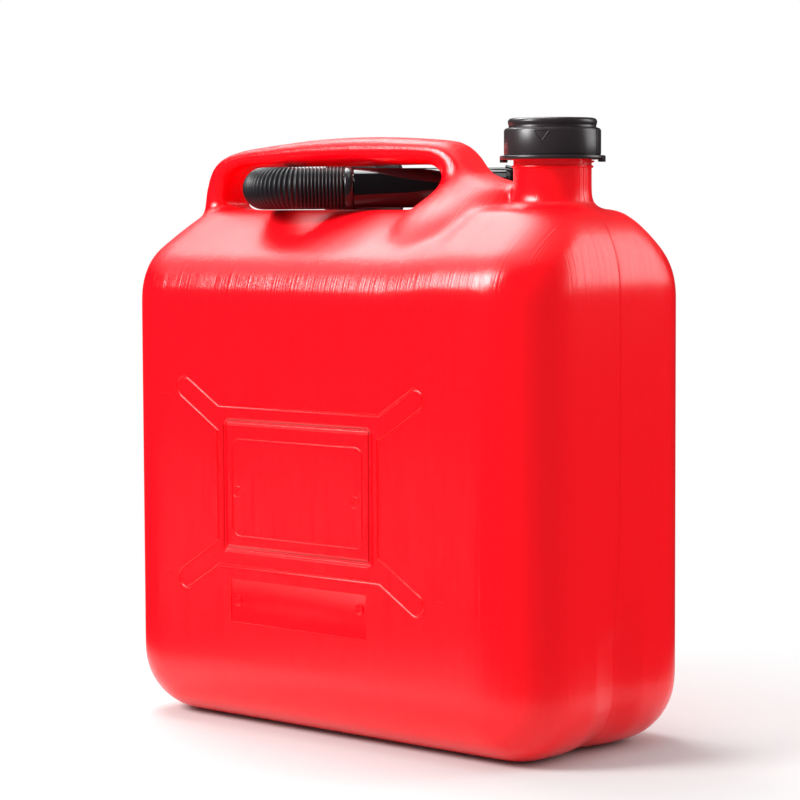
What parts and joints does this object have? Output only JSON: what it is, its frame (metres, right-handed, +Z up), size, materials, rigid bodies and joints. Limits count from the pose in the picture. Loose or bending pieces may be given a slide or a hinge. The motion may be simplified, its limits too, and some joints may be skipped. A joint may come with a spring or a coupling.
{
  "type": "jerrycan",
  "caption": "Blow-moulded plastic fuel jerrycan with moulded-in handle, sloping shoulders, screw cap and a flexible ribbed pouring spout stored through the handle.",
  "frame": {"origin": "middle of the base, where the can stands", "axes": "+Z up, +X along the can towards the neck, +Y from the front panel to the back"},
  "size_m": [0.378, 0.182, 0.4131],
  "materials": {
    "red_hdpe": "blow-moulded HDPE, satin, fine vertical draw lines",
    "black_pp": "injection-moulded polypropylene, semi-gloss",
    "black_pe": "ribbed flexible polyethylene, satin",
    "black_gloss": "polished mould, high gloss",
    "seal_foam": "pressed polyethylene foam disc"
  },
  "bodies": {
    "can": {"tank_body": "red_hdpe"},
    "cap_seal": {"cap_seal": "seal_foam"},
    "cap": {"cap": "black_pp"},
    "spout": {"spout_hose": "black_pe", "spout_cuff": "black_gloss", "spout_tube": "black_gloss", "spout_base": "black_pp", "spout_seal": "seal_foam"},
    "spout_end_cap": {"spout_end_cap": "black_pe"},
    "spout_nut": {"spout_nut": "black_pp"}
  },
  "joints": [
    {"name": "cap_rise", "type": "slide", "parent": "can", "child": "cap_seal", "axis": [0, 0, 1], "range_m": [0, 0.006]},
    {"name": "cap_turn", "type": "hinge", "parent": "cap_seal", "child": "cap", "pos_m": [0.1335, 0, 0.4], "axis": [0, 0, 1], "range_deg": [0, 540]},
    {"name": "spout_draw", "type": "slide", "parent": "can", "child": "spout", "axis": [0, 1, 0], "range_m": [0, 0.12]},
    {"name": "spout_nut_turn", "type": "hinge", "parent": "spout", "child": "spout_nut", "pos_m": [-0.0947, 0.06, 0.3689], "axis": [0, 1, 0], "continuous": true},
    {"name": "spout_end_cap_pull", "type": "slide", "parent": "spout", "child": "spout_end_cap", "axis": [0.7431, 0.6691, 0], "range_m": [0, 0.02]}
  ],
  "couplings": [
    {"joint": "cap_rise", "follows": "cap_turn", "m_per_rad": 0.000636}
  ]
}
